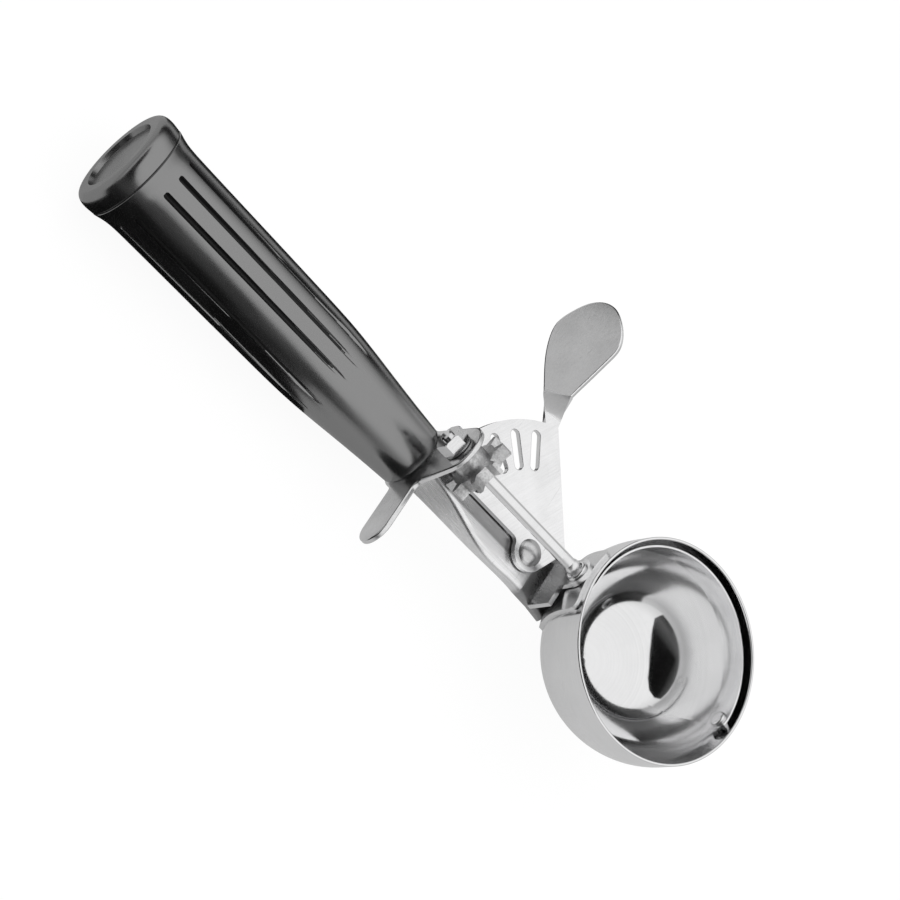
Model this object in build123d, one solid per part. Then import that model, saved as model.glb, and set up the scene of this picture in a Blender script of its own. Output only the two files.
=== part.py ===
from build123d import *
import math
import os

os.makedirs("parts", exist_ok=True)

# Lever ice cream scoop. All sizes in millimetres.
# Origin: centre of the bowl's hemisphere, which lies on the scraper shaft's axis.
# +Z is up out of the bowl, -X runs back to the handle, +Y is the thumb lever's side.

# Fits and clearances
RUN_FIT = 0.05            # radial, a shaft or rivet turning in its hole
END_PLAY = 0.10           # axial, a turning piece beside a fixed one
SCRAPE_GAP = 1.0          # scraper blade to the bowl's inside
SLIDE_GAP = 0.05          # lever plate on its spacer and under its rivet's head

# Bowl
BOWL_R = 29.7
BOWL_WALL = 0.8
BOWL_RIM_Z = 5.6
RIM_ROUND = 0.38

# Lever pivot, behind the bowl and just off the shaft's line
PIVOT_BACK = 12.8
PIVOT_X = -BOWL_R - PIVOT_BACK
PIVOT_Y = -1.8

# Sheet metal of the shank, a folded channel with its web on top
SHEET_T = 1.2
WEB_Z = -9.5
BEND_R = 1.8
NOSE_Z = -12.7            # web height where the nose passes the upright

# Sector lever
LEVER_LIFT = 0.55         # underside above the web
LEVER_Z = WEB_Z + LEVER_LIFT
LEVER_T = 1.5
LEVER_R = 34.6
LEVER_BACK = -0.3         # rear edge past the pivot's line
LEVER_EDGE_TOP = 111.6    # where the straight front edge meets the arc, degrees
LEVER_EDGE_D = 11.4       # that edge's distance from the pivot
LEVER_NOSE_ROUND = 1.6
HUB_R = 5.0
HUB_BLEND_R = 2.0

# Guard plate with its finger rest, just clear of the sector's arc
LEVER_GAP = 0.4
GUARD_X = PIVOT_X - LEVER_R - LEVER_GAP
GUARD_T = 1.5
GUARD_EAR_R = 7.2
GUARD_WAIST_BACK = -9.6
GUARD_WAIST_FRONT = (9.1, -17.2)
GUARD_FOOT_R = 9.7
GUARD_BLEND_R = 2.5
GUARD_EDGE = 0.4
REST_TIP_Y = -23.2
REST_TIP_Z = -16.3
REST_HALF_W = 5.5

# Scraper shaft with its nut and pinion
SHAFT_R = 1.75
SHAFT_TAIL = 1.0          # shaft past the nut
BEAD_R = 2.1              # bead that takes the shaft's thrust
NUT_AF = 7.0
NUT_T = 3.8
NUT_EDGE = 0.35
WASHER_R = 3.9
WASHER_T = 0.4
PINION_TEETH = 8
PINION_ROOT_R = 6.6
PINION_TIP_R = 9.25
TOOTH_ROOT_HALF = 1.05
TOOTH_TIP_HALF = 0.55
PINION_FACE = 3.5
PINION_HUB_L = 4.2
PINION_HUB_R = 4.5
PINION_BACK_X = GUARD_X + END_PLAY + PINION_HUB_L
PITCH_R = -LEVER_Z - LEVER_T / 2
MESH_R = PIVOT_X - PINION_BACK_X - PINION_FACE / 2

# Slots of the sector, one tooth of the pinion apart
SLOT_COUNT = 5
SLOT_PITCH = 360 / PINION_TEETH * PITCH_R / MESH_R
SLOT_LEAD = 2.2           # degrees that the first slot stands short of dead centre
SLOT_HALF_W = 1.35
SLOT_RIM = 2.6            # metal between slots and arc
SLOT_L = 10.5
SLOT_EDGE = 0.3
PINION_PHASE = SLOT_LEAD * MESH_R / PITCH_R

# Saddle and upright that join the bowl to the shank
SADDLE_T = 1.0
SADDLE_HALF_Y = 10.0
SADDLE_LOW_Z = -19.0
SADDLE_TOP_Z = 3.8
SADDLE_CORNER = 3.0
UPRIGHT_T = 1.3
UPRIGHT_X = -BOWL_R - SADDLE_T - UPRIGHT_T
UPRIGHT_EAR_R = 4.2
UPRIGHT_SIDE_Y = -10.0
UPRIGHT_SIDE_Z = -4.4

# Shaft bearing sleeve in the bowl's wall
SLEEVE_R = 2.6
SLEEVE_FLANGE_R = 3.2
SLEEVE_FLANGE_T = 0.9
SLEEVE_SEAT = 0.6         # countersink for the shaft's bead

# Shank stations: x, half width at the fold, half width at the foot, web z, foot z
SHANK_REAR = [
    (GUARD_X, 4.5, 8.6, WEB_Z, -17.3),
    (GUARD_X + 7.0, 5.4, 9.3, WEB_Z, -15.7),
    (GUARD_X + 15.9, 8.0, 10.1, WEB_Z, -14.3),
    (GUARD_X + 24.3, 10.4, 10.9, WEB_Z, -12.7),
    (PIVOT_X - 2.5, 10.7, 10.8, WEB_Z, -12.4),
    (PIVOT_X + 4.5, 10.7, 10.8, WEB_Z, -12.8),
]
SHANK_NOSE = [
    (PIVOT_X + 4.5, 10.7, 10.8, WEB_Z, -12.8),
    (-BOWL_R - 1.8, 9.6, 9.7, NOSE_Z, -15.0),
    (-BOWL_R + 5.2, 8.4, 8.5, -16.2, -18.2),
]

# Scraper blade
BLADE_T = 0.5
BLADE_HALF_W = 3.75
BLADE_PARK = -0.5         # degrees from +Y towards +Z, about the shaft
TIP_RIVET_R = 1.2
TIP_HEAD_R = 2.3
TIP_HEAD_T = 0.9
TIP_CLINCH = 0.6

# Grip and its end cap, turned about an axis below the shaft's.
# Distances run back from the guard's rear face.
GRIP_Z = -20.0
GRIP_X = GUARD_X - GUARD_T
GRIP_NOSE_R = 9.4
GRIP_STATIONS = [
    (1.2, 10.4),
    (16.0, 11.6),
    (41.0, 12.95),
    (71.0, 13.45),
    (90.0, 13.5),
    (98.0, 13.9),
    (103.1, 14.5),
]
SEAM_BACK = 103.4
SEAM_R = 14.5
SEAM_NICK = 0.3
CORE_R = 9.5
CORE_L = 55.4             # depth of the core behind the seam
FLUTES = 12
FLUTE_FIRST = 26.0        # degrees from +Y towards +Z
FLUTE_CUT_R = 0.75
FLUTE_AXIS_R = 13.15
FLUTE_OPEN = 1.1          # half width at the reach
FLUTE_REACH_R = 15.5
FLUTE_BACK = 97.0
FLUTE_START = 16.0

# End cap. Distances run back from the seam.
CAP_BULGE = (2.8, 14.7)
CAP_EDGE = (5.1, 14.1)
CAP_L = 5.9
CAP_FACE_R = 12.7
CAP_RECESS_R = 10.3
CAP_RECESS_D = 1.2
CAP_RECESS_DRAFT = 0.4
CAP_SPIGOT_L = 8.0
CAP_FIT = 0.02
CAP_WALL = 2.0

# Tang, a bar from under the web into the grip
TANG_HALF_W = 3.6
TANG_T = 2.5
TANG_REACH = 25.5         # along the web, in front of the guard
TANG_DROP = 15.5
TANG_LEVEL = 2.5
TANG_IN_GRIP = 43.0

# Thumb paddle, twisted out of the lever's plane
PADDLE_ROOT_BACK = 118.6  # corners of its root on the arc, degrees about the pivot
PADDLE_ROOT_R = LEVER_R + 0.1
PADDLE_ROOT_IN = 3.0
PADDLE_RUN = 104.5        # direction of its long axis, degrees from +X
PADDLE_TILT = 60.0        # its plane's slope to the lever's
PADDLE_SHIFT = (-1.0, -0.75)
PADDLE_EDGE = 0.35
# outline past the neck: along the long axis, across it
PADDLE_OUTLINE = [
    (8.5, -2.6),
    (17.6, -5.3),
    (24.0, -6.3),
    (29.5, -5.6),
    (33.5, -2.2),
    (36.3, 2.0),
    (36.9, 5.8),
    (35.5, 9.4),
    (32.1, 12.1),
    (27.5, 13.9),
    (23.7, 14.0),
    (20.3, 12.4),
    (14.3, 8.9),
    (8.5, 5.5),
]

# Lever pivot rivet, its spacer and the return spring under the web
RIVET_R = 2.2
RIVET_HEAD_R = 3.6
RIVET_HEAD_H = 1.5
RIVET_FOOT_R = 3.9
RIVET_FOOT_T = 0.8
RIVET_DROP = 3.6          # foot's top below the web's underside
SPACER_R = 4.4
SPRING_WIRE_R = 0.45
SPRING_COIL_R = 3.0
SPRING_PITCH = 1.0
SPRING_TURNS = 2.25
SPRING_DROP = 0.65        # top coil's centre below the web's underside
SPRING_STAY = 6.2
LEG_REACH = 7.0
LEG_PARK = 118.0          # degrees about the pivot
LEG_SLOT_SWEEP = 44.0
LEG_SLOT_MARGIN = 4.0
LEG_GAP = 0.25


def block(x0, x1, y0, y1, z0, z1):
    """Box between two corners."""
    middle = Pos((x0 + x1) / 2, (y0 + y1) / 2, (z0 + z1) / 2)
    return middle * Box(x1 - x0, y1 - y0, z1 - z0)


def bar_x(radius, x0, x1, y=0.0, z=0.0):
    """Round bar along X between two stations."""
    return Pos((x0 + x1) / 2, y, z) * Rot(0, 90, 0) * Cylinder(radius, x1 - x0)


def post_z(radius, z0, z1, x=0.0, y=0.0):
    """Round post along Z between two heights."""
    return Pos(x, y, (z0 + z1) / 2) * Cylinder(radius, z1 - z0)


def plate_yz(face, x0, thick):
    """Flat plate drawn in Y and Z, from x0 towards +X."""
    return extrude(Plane.YZ.offset(x0) * face, amount=thick)


def polar(radius, angle):
    """Point about the lever's pivot."""
    turn = math.radians(angle)
    return (PIVOT_X + radius * math.cos(turn), PIVOT_Y + radius * math.sin(turn))


def tangent_point(point, radius, side):
    """Where a line from the point touches a circle about the origin."""
    away = math.atan2(point[1], point[0])
    swing = math.acos(radius / math.hypot(*point))
    turn = away + side * swing
    return (radius * math.cos(turn), radius * math.sin(turn))


def cup_wall(outer, inner, top):
    """Half ball wall below z = 0 with a straight collar above it."""
    with BuildPart() as cup:
        with BuildSketch(Plane.XZ):
            with BuildLine():
                Line((0, -inner), (0, -outer))
                CenterArc((0, 0), outer, 270, 90)
                Line((outer, 0), (outer, top))
                Line((outer, top), (inner, top))
                Line((inner, top), (inner, 0))
                CenterArc((0, 0), inner, 270, 90)
            make_face()
        revolve(axis=Axis.Z)
    return cup.part


def channel_section(x, half, foot, web, foot_z):
    """Cross-section of the folded channel at one station."""
    run = math.hypot(foot - half, foot_z - web)
    dy = (foot - half) / run
    dz = (foot_z - web) / run
    inner_foot = (foot + SHEET_T * dz, foot_z - SHEET_T * dy)
    slide = -SHEET_T * (1 - dy) / dz
    inner_half = half + SHEET_T * dz + slide * dy
    under = web - SHEET_T
    points = [
        (-foot, foot_z),
        (-half, web),
        (half, web),
        (foot, foot_z),
        inner_foot,
        (inner_half, under),
        (-inner_half, under),
        (-inner_foot[0], inner_foot[1]),
    ]
    inside = BEND_R - SHEET_T
    rounds = [0, BEND_R, BEND_R, 0, 0, inside, inside, 0]
    with BuildSketch(Plane.YZ.offset(x)) as section:
        with BuildLine():
            FilletPolyline(*points, radius=rounds, close=True)
        make_face()
    return section.sketch


def make_bowl():
    """Spun bowl with a hole for the shaft's sleeve and one for the tip rivet."""
    cup = cup_wall(BOWL_R, BOWL_R - BOWL_WALL, BOWL_RIM_Z)
    rim = cup.edges().filter_by_position(Axis.Z, BOWL_RIM_Z - 0.01, BOWL_RIM_Z + 0.01)
    cup = fillet(rim, RIM_ROUND)
    cup -= bar_x(SLEEVE_R, -BOWL_R - 2, -BOWL_R + 4)
    cup -= bar_x(TIP_RIVET_R, BOWL_R - 4, BOWL_R + 2)
    return cup


def make_bowl_saddle():
    """Curved plate that lies on the bowl's wall under the shank's nose."""
    skin = cup_wall(BOWL_R + SADDLE_T, BOWL_R, SADDLE_TOP_Z + 1)
    tall = SADDLE_TOP_Z - SADDLE_LOW_Z
    outline = Pos(0, (SADDLE_TOP_Z + SADDLE_LOW_Z) / 2) * RectangleRounded(
        2 * SADDLE_HALF_Y, tall, SADDLE_CORNER
    )
    window = plate_yz(outline, -BOWL_R - 5, BOWL_R)
    return (skin & window) - bar_x(SLEEVE_R, -BOWL_R - 5, -BOWL_R + 5)


def make_upright():
    """Flat plate that holds the shaft's sleeve just behind the bowl."""
    low = NOSE_Z - SHEET_T / 2
    ear = Circle(UPRIGHT_EAR_R)
    sheet = make_face(
        Polyline(
            (UPRIGHT_SIDE_Y, low),
            (UPRIGHT_SIDE_Y, UPRIGHT_SIDE_Z),
            (-UPRIGHT_EAR_R, UPRIGHT_SIDE_Z),
            (-UPRIGHT_EAR_R, 0),
            (UPRIGHT_EAR_R, 0),
            (UPRIGHT_EAR_R, low),
            close=True,
        )
    )
    plate = plate_yz(ear + sheet, UPRIGHT_X, UPRIGHT_T)
    plate -= bar_x(SLEEVE_R, UPRIGHT_X - 1, UPRIGHT_X + UPRIGHT_T + 1)
    return plate - make_shank()


def make_sleeve():
    """Flanged sleeve through the upright, the saddle and the bowl's wall."""
    back = UPRIGHT_X
    flange = bar_x(SLEEVE_FLANGE_R, back - SLEEVE_FLANGE_T, back)
    flange = fillet(flange.edges().group_by(Axis.X)[0], SLEEVE_FLANGE_T * 0.8)
    tube = bar_x(SLEEVE_R, back, -BOWL_R + BOWL_WALL)
    inside = Sphere(BOWL_R - BOWL_WALL)
    seat = Cone(SHAFT_R, SHAFT_R + 2 * SLEEVE_SEAT, 2 * SLEEVE_SEAT)
    seat = Pos(back - SLEEVE_FLANGE_T, 0, 0) * Rot(0, -90, 0) * seat
    return flange + tube - inside - seat - bar_x(SHAFT_R + RUN_FIT, back - 2, -BOWL_R + 4)


def make_shank():
    """Folded channel from the guard plate to the bowl's saddle."""
    rear = loft([channel_section(*row) for row in SHANK_REAR])
    nose = loft([channel_section(*row) for row in SHANK_NOSE], ruled=True)
    shank = rear + nose - Sphere(BOWL_R + SADDLE_T)
    shank -= post_z(RIVET_R, WEB_Z - 2 * SHEET_T, WEB_Z + 1, PIVOT_X, PIVOT_Y)
    return shank - leg_slot()


def leg_slot():
    """Curved slot in the web for the spring's moving leg."""
    reach = SPRING_WIRE_R + LEG_GAP
    start = LEG_PARK - LEG_SLOT_MARGIN
    sweep = LEG_SLOT_SWEEP + 2 * LEG_SLOT_MARGIN
    arc = CenterArc((PIVOT_X, PIVOT_Y), LEG_REACH, start, sweep)
    slot = SlotArc(arc, 2 * reach)
    return extrude(Plane.XY.offset(WEB_Z - 2 * SHEET_T) * slot, amount=4 * SHEET_T)


def guard_outline():
    """Guard plate seen along the shaft."""
    waist = (GUARD_WAIST_BACK, REST_TIP_Z + REST_HALF_W)
    back = tangent_point(waist, GUARD_EAR_R, -1)
    front = tangent_point(GUARD_WAIST_FRONT, GUARD_EAR_R, 1)
    body = make_face(
        Polyline(
            back,
            waist,
            (-GUARD_FOOT_R, GRIP_Z),
            (GUARD_FOOT_R, GRIP_Z),
            GUARD_WAIST_FRONT,
            front,
            close=True,
        )
    )
    tip = Pos(REST_TIP_Y, REST_TIP_Z) * Circle(REST_HALF_W)
    rest = Pos(REST_TIP_Y / 2, REST_TIP_Z) * Rectangle(-REST_TIP_Y, 2 * REST_HALF_W)
    foot = Pos(0, GRIP_Z) * Circle(GUARD_FOOT_R)
    plate = body + Circle(GUARD_EAR_R) + foot + rest + tip
    below = (-GUARD_FOOT_R, REST_TIP_Z - REST_HALF_W)
    for spot in (waist, below):
        corner = plate.vertices().sort_by_distance((*spot, 0))[0]
        plate = fillet(corner, GUARD_BLEND_R)
    return plate


def make_guard():
    """Plate between shank and grip: bearing ear, body and finger rest."""
    plate = plate_yz(guard_outline(), GUARD_X - GUARD_T, GUARD_T)
    sides = plate.edges().group_by(Axis.X)
    plate = fillet(sides[0] + sides[-1], GUARD_EDGE)
    plate -= bar_x(SHAFT_R + RUN_FIT, GUARD_X - 2 * GUARD_T, GUARD_X + GUARD_T)
    half = TANG_HALF_W
    low = GRIP_Z - TANG_T / 2
    return plate - block(GUARD_X - 2 * GUARD_T, GUARD_X + GUARD_T, -half, half, low, low + TANG_T)


def make_tang():
    """Cranked bar welded under the web and run back through the guard."""
    under = WEB_Z - SHEET_T
    top = GRIP_Z + TANG_T / 2
    front = GUARD_X + TANG_REACH
    drop = GUARD_X + TANG_DROP
    level = GUARD_X + TANG_LEVEL
    end = GRIP_X - TANG_IN_GRIP
    shift = TANG_T * math.tan(math.atan2(under - top, drop - level) / 2)
    profile = make_face(
        Polyline(
            (front, under),
            (drop, under),
            (level, top),
            (end, top),
            (end, top - TANG_T),
            (level + shift, top - TANG_T),
            (drop + shift, under - TANG_T),
            (front, under - TANG_T),
            close=True,
        )
    )
    return extrude(Plane.XZ * profile, amount=TANG_HALF_W, both=True)


def turned(*lines):
    """Solid of revolution about the grip's axis from its half profile."""
    return Pos(0, 0, GRIP_Z) * revolve(Plane.XZ * make_face(Curve() + list(lines)), axis=Axis.X)


def flute_cutter():
    """Cutter for one flute on the +Y side: round bottom, sides drawn open, round rear end."""
    rear = GRIP_X - FLUTE_BACK
    front = GRIP_X - FLUTE_START
    sides = [
        (FLUTE_AXIS_R, -FLUTE_CUT_R),
        (FLUTE_REACH_R, -FLUTE_OPEN),
        (FLUTE_REACH_R, FLUTE_OPEN),
        (FLUTE_AXIS_R, FLUTE_CUT_R),
    ]
    bottom = Pos(FLUTE_AXIS_R, 0) * Circle(FLUTE_CUT_R)
    run = plate_yz(make_face(Polyline(*sides, close=True)) + bottom, rear, front - rear)
    rise = FLUTE_REACH_R - FLUTE_AXIS_R
    end = Pos(0, rise / 2, 0) * Rot(-90, 0, 0) * Cone(FLUTE_CUT_R, FLUTE_OPEN, rise)
    return run + Pos(rear, FLUTE_AXIS_R, 0) * (end + Sphere(FLUTE_CUT_R))


def make_grip():
    """Moulded grip: barrel, end collar, flutes, tang pocket and hollow core."""
    seam = GRIP_X - SEAM_BACK
    side = [(GRIP_X - back, radius) for back, radius in GRIP_STATIONS]
    grip = turned(
        Polyline((GRIP_X, 0), (GRIP_X, GRIP_NOSE_R), side[0]),
        Spline(*side),
        Polyline(side[-1], (seam, SEAM_R - SEAM_NICK), (seam, CORE_R), (seam + CORE_L, CORE_R)),
        Polyline((seam + CORE_L, CORE_R), (seam + CORE_L, 0), (GRIP_X, 0)),
    )
    for number in range(FLUTES):
        turn = FLUTE_FIRST + number * 360 / FLUTES
        grip -= Pos(0, 0, GRIP_Z) * Rot(turn, 0, 0) * flute_cutter()
    half = TANG_HALF_W
    low = GRIP_Z - TANG_T / 2
    return grip - block(GRIP_X - TANG_IN_GRIP, GRIP_X + 1, -half, half, low, low + TANG_T)


def make_end_cap():
    """Cap with a shallow recess, plugged into the grip's core."""
    seam = GRIP_X - SEAM_BACK
    end = seam - CAP_L
    floor = end + CAP_RECESS_D
    plug = CORE_R - CAP_FIT
    bore = CORE_R - CAP_WALL
    tip = seam + CAP_SPIGOT_L
    rim = (seam - SEAM_NICK, SEAM_R)
    bulge = (seam - CAP_BULGE[0], CAP_BULGE[1])
    edge = (seam - CAP_EDGE[0], CAP_EDGE[1])
    return turned(
        Polyline(rim, (seam, SEAM_R - SEAM_NICK), (seam, plug), (tip, plug), (tip, bore)),
        Polyline((tip, bore), (seam, bore), (seam, 0), (floor, 0)),
        Polyline((floor, 0), (floor, CAP_RECESS_R - CAP_RECESS_DRAFT), (end, CAP_RECESS_R)),
        Polyline((end, CAP_RECESS_R), (end, CAP_FACE_R)),
        Spline((end, CAP_FACE_R), edge, bulge, rim),
    )


def make_scraper_shaft():
    """Straight rod from the nut to the blade's rear ear, with a bead before the sleeve."""
    inner = BOWL_R - BOWL_WALL - SCRAPE_GAP - BLADE_T
    rod = bar_x(SHAFT_R, nut_rear_x() - SHAFT_TAIL, -inner + BLADE_T)
    rod = chamfer(rod.edges().group_by(Axis.X)[0], 0.4)
    return rod + Pos(UPRIGHT_X - SLEEVE_FLANGE_T - BEAD_R * 0.6, 0, 0) * Sphere(BEAD_R)


def nut_rear_x():
    """Rear face of the nut behind the guard."""
    return GUARD_X - GUARD_T - 2 * END_PLAY - WASHER_T - NUT_T


def make_shaft_nut():
    """Hexagon nut that holds the shaft behind the guard."""
    rear = nut_rear_x()
    hexagon = Rot(0, 0, 30) * RegularPolygon(NUT_AF / 2, 6, major_radius=False)
    nut = plate_yz(hexagon, rear, NUT_T)
    trim = bar_x(NUT_AF / math.sqrt(3), rear, rear + NUT_T)
    trim = chamfer(trim.edges().filter_by(GeomType.CIRCLE), NUT_EDGE)
    return (nut & trim) - bar_x(SHAFT_R, rear - 1, rear + NUT_T + 1)


def make_nut_washer():
    """Washer between the nut and the guard, turning with the shaft."""
    rear = nut_rear_x() + NUT_T
    ring = bar_x(WASHER_R, rear, rear + WASHER_T)
    return ring - bar_x(SHAFT_R, rear - 1, rear + WASHER_T + 1)


def make_pinion():
    """Eight-tooth pinion with its hub, fixed on the shaft."""
    rear = PINION_BACK_X
    hub_rear = rear - PINION_HUB_L
    tooth = make_face(
        Polyline(
            (-TOOTH_ROOT_HALF, -PINION_ROOT_R + 1),
            (-TOOTH_ROOT_HALF, -PINION_ROOT_R),
            (-TOOTH_TIP_HALF, -PINION_TIP_R),
            (TOOTH_TIP_HALF, -PINION_TIP_R),
            (TOOTH_ROOT_HALF, -PINION_ROOT_R),
            (TOOTH_ROOT_HALF, -PINION_ROOT_R + 1),
            close=True,
        )
    )
    wheel = Circle(PINION_ROOT_R)
    for number in range(PINION_TEETH):
        wheel += Rot(0, 0, PINION_PHASE + number * 360 / PINION_TEETH) * tooth
    gear = plate_yz(wheel, rear, PINION_FACE) + bar_x(PINION_HUB_R, hub_rear, rear)
    return gear - bar_x(SHAFT_R, hub_rear - 1, rear + PINION_FACE + 1)


def make_scraper_blade():
    """Half ring that sweeps the bowl, with a round ear at each end."""
    outer = BOWL_R - BOWL_WALL - SCRAPE_GAP
    shell = Sphere(outer) - Sphere(outer - BLADE_T)
    band = block(-BOWL_R, BOWL_R, 0, BOWL_R, -BLADE_HALF_W, BLADE_HALF_W)
    ring = shell & (band + bar_x(BLADE_HALF_W, -BOWL_R, BOWL_R))
    ring -= bar_x(SHAFT_R, -BOWL_R, -BOWL_R / 2)
    ring -= bar_x(TIP_RIVET_R + RUN_FIT, BOWL_R / 2, BOWL_R)
    return Rot(BLADE_PARK, 0, 0) * ring


def make_tip_rivet():
    """Rivet through the bowl's wall that carries the blade's far end."""
    head_x = BOWL_R - BOWL_WALL - SCRAPE_GAP - BLADE_T - END_PLAY
    head = bar_x(TIP_HEAD_R, head_x - TIP_HEAD_T, head_x)
    head = fillet(head.edges().group_by(Axis.X)[0], TIP_HEAD_T * 0.7)
    tail = bar_x(TIP_RIVET_R, head_x, BOWL_R + TIP_CLINCH)
    clinch = bar_x(TIP_RIVET_R + TIP_CLINCH, BOWL_R, BOWL_R + TIP_CLINCH)
    clinch = fillet(clinch.edges().group_by(Axis.X)[-1], TIP_CLINCH * 0.7)
    return head + tail + (clinch - Sphere(BOWL_R))


def lever_outline():
    """Sector plate seen from above, with its slots."""
    centre = (PIVOT_X, PIVOT_Y)
    back = (PIVOT_X, PIVOT_Y - LEVER_BACK)
    start = 180 + math.degrees(math.asin(LEVER_BACK / LEVER_R))
    arc_start = polar(LEVER_R, start)
    arc_end = polar(LEVER_R, LEVER_EDGE_TOP)
    arc_mid = polar(LEVER_R, (LEVER_EDGE_TOP + start) / 2)
    square = LEVER_EDGE_TOP - math.degrees(math.acos(LEVER_EDGE_D / LEVER_R))
    nose = polar(LEVER_EDGE_D, square)
    hub_side = polar(HUB_R, square - math.degrees(math.acos(HUB_R / LEVER_EDGE_D)))
    edge = Polyline(back, arc_start) + ThreePointArc(arc_start, arc_mid, arc_end)
    edge += Polyline(arc_end, nose, hub_side, centre, back)
    plate = make_face(edge) + Pos(*centre) * Circle(HUB_R)
    inner = LEVER_R - PADDLE_ROOT_IN
    root = Polyline(
        polar(PADDLE_ROOT_R, PADDLE_ROOT_BACK),
        polar(PADDLE_ROOT_R, LEVER_EDGE_TOP),
        polar(inner, LEVER_EDGE_TOP + 1),
        polar(inner, PADDLE_ROOT_BACK - 1),
        close=True,
    )
    plate += make_face(root)
    plate = fillet(plate.vertices().sort_by_distance((*nose, 0))[0], LEVER_NOSE_ROUND)
    step = math.sqrt(HUB_R ** 2 - LEVER_BACK ** 2)
    heel = (PIVOT_X - step, PIVOT_Y - LEVER_BACK, 0)
    plate = fillet(plate.vertices().sort_by_distance(heel)[0], HUB_BLEND_R)
    first = 180 - math.degrees(math.asin(-PIVOT_Y / MESH_R)) - SLOT_LEAD
    for number in range(SLOT_COUNT):
        angle = first - number * SLOT_PITCH
        spot = polar(LEVER_R - SLOT_RIM - SLOT_L / 2, angle)
        plate -= Pos(*spot) * Rot(0, 0, angle) * SlotOverall(SLOT_L, 2 * SLOT_HALF_W)
    return plate


def paddle_point(along, across, depth=0.0):
    """Point on the tilted paddle: along and across its face, depth behind it."""
    run = math.radians(PADDLE_RUN)
    tilt = math.radians(PADDLE_TILT)
    u = Vector(math.cos(run), math.sin(run), 0)
    side = Vector(math.sin(run), -math.cos(run), 0)
    w = side * math.cos(tilt) + Vector(0, 0, math.sin(tilt))
    root = polar(PADDLE_ROOT_R, PADDLE_ROOT_BACK)
    base = Vector(root[0] + PADDLE_SHIFT[0], root[1] + PADDLE_SHIFT[1], LEVER_Z + LEVER_T)
    return base + u * along + w * across + u.cross(w) * depth


def make_paddle():
    """Leaf-shaped thumb rest and the twisted neck that carries it."""
    face_plane = Plane(
        origin=paddle_point(0, 0),
        x_dir=paddle_point(1, 0) - paddle_point(0, 0),
        z_dir=paddle_point(0, 0, 1) - paddle_point(0, 0),
    )
    first = PADDLE_OUTLINE[0]
    last = PADDLE_OUTLINE[-1]
    leaf = make_face(Spline(*PADDLE_OUTLINE) + Line(last, first))
    blade = extrude(face_plane * leaf, amount=LEVER_T)
    blade = fillet(blade.edges().sort_by(SortBy.LENGTH)[-2:], PADDLE_EDGE)
    top = LEVER_Z + LEVER_T
    back = polar(PADDLE_ROOT_R, PADDLE_ROOT_BACK)
    front = polar(PADDLE_ROOT_R, LEVER_EDGE_TOP)
    root = Polyline((*back, top), (*front, top), (*front, LEVER_Z), (*back, LEVER_Z), close=True)
    end = Polyline(
        paddle_point(*first),
        paddle_point(*last),
        paddle_point(*last, LEVER_T),
        paddle_point(*first, LEVER_T),
        close=True,
    )
    return blade + loft([make_face(root), make_face(end)])


def make_sector_lever():
    """Slotted sector plate with the thumb paddle twisted out of it."""
    plate = extrude(Plane.XY.offset(LEVER_Z) * lever_outline(), amount=LEVER_T)
    top = plate.faces().sort_by(Axis.Z)[-1]
    slots = [edge for loop in top.inner_wires() for edge in loop.edges()]
    plate = fillet(slots, SLOT_EDGE)
    low = LEVER_Z - LEVER_T
    high = LEVER_Z + 2 * LEVER_T
    plate -= post_z(RIVET_R + RUN_FIT, low, high, PIVOT_X, PIVOT_Y)
    plate -= post_z(SPRING_WIRE_R + RUN_FIT, low, high, *polar(LEG_REACH, LEG_PARK))
    return plate + make_paddle()


def make_lever_rivet():
    """Domed rivet that the lever turns on, with a foot under the spring."""
    head_z = LEVER_Z + LEVER_T + SLIDE_GAP
    ball_r = (RIVET_HEAD_R ** 2 + RIVET_HEAD_H ** 2) / (2 * RIVET_HEAD_H)
    ball = Pos(PIVOT_X, PIVOT_Y, head_z + RIVET_HEAD_H - ball_r) * Sphere(ball_r)
    head = ball & post_z(RIVET_HEAD_R + 1, head_z, head_z + 5, PIVOT_X, PIVOT_Y)
    foot_top = WEB_Z - SHEET_T - RIVET_DROP
    low = foot_top - RIVET_FOOT_T
    stem = post_z(RIVET_R, low, head_z, PIVOT_X, PIVOT_Y)
    foot = post_z(RIVET_FOOT_R, low, foot_top, PIVOT_X, PIVOT_Y)
    foot = fillet(foot.edges().group_by(Axis.Z)[0], RIVET_FOOT_T / 2)
    return head + stem + foot


def make_lever_spacer():
    """Washer between the web and the lever."""
    top = LEVER_Z - SLIDE_GAP
    ring = post_z(SPACER_R, WEB_Z, top, PIVOT_X, PIVOT_Y)
    return ring - post_z(RIVET_R, WEB_Z - 1, top + 1, PIVOT_X, PIVOT_Y)


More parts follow.
